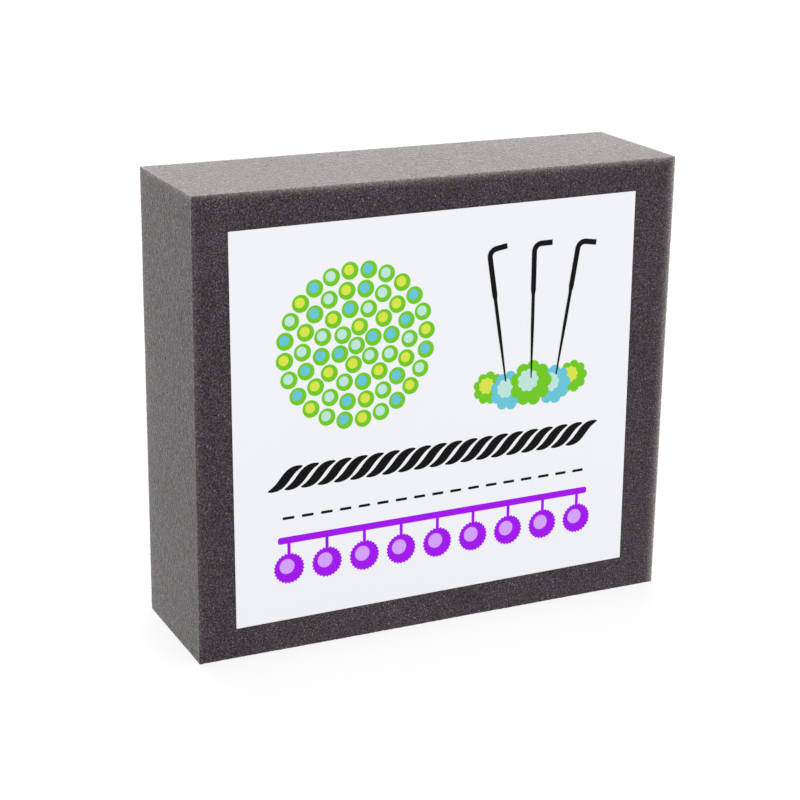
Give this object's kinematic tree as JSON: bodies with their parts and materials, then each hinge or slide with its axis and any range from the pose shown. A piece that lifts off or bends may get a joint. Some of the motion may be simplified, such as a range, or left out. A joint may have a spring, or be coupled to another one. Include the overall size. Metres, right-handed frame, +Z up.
{
  "type": "needle felting mat",
  "caption": "Rectangular charcoal foam pad with a paper label glued to its front face, poked with barbed needles to felt wool on.",
  "frame": {"origin": "middle of the long edge face that the pad stands on", "axes": "+X along the width, +Y from the labelled front face to the back face, +Z up"},
  "size_m": [0.107, 0.0306, 0.0965],
  "materials": {
    "foam": "matte",
    "label_glue": "satin",
    "label_paper": "matte"
  },
  "bodies": {
    "root": {"foam_block": "foam", "label_glue": "label_glue", "label_paper": "label_paper"}
  },
  "joints": []
}
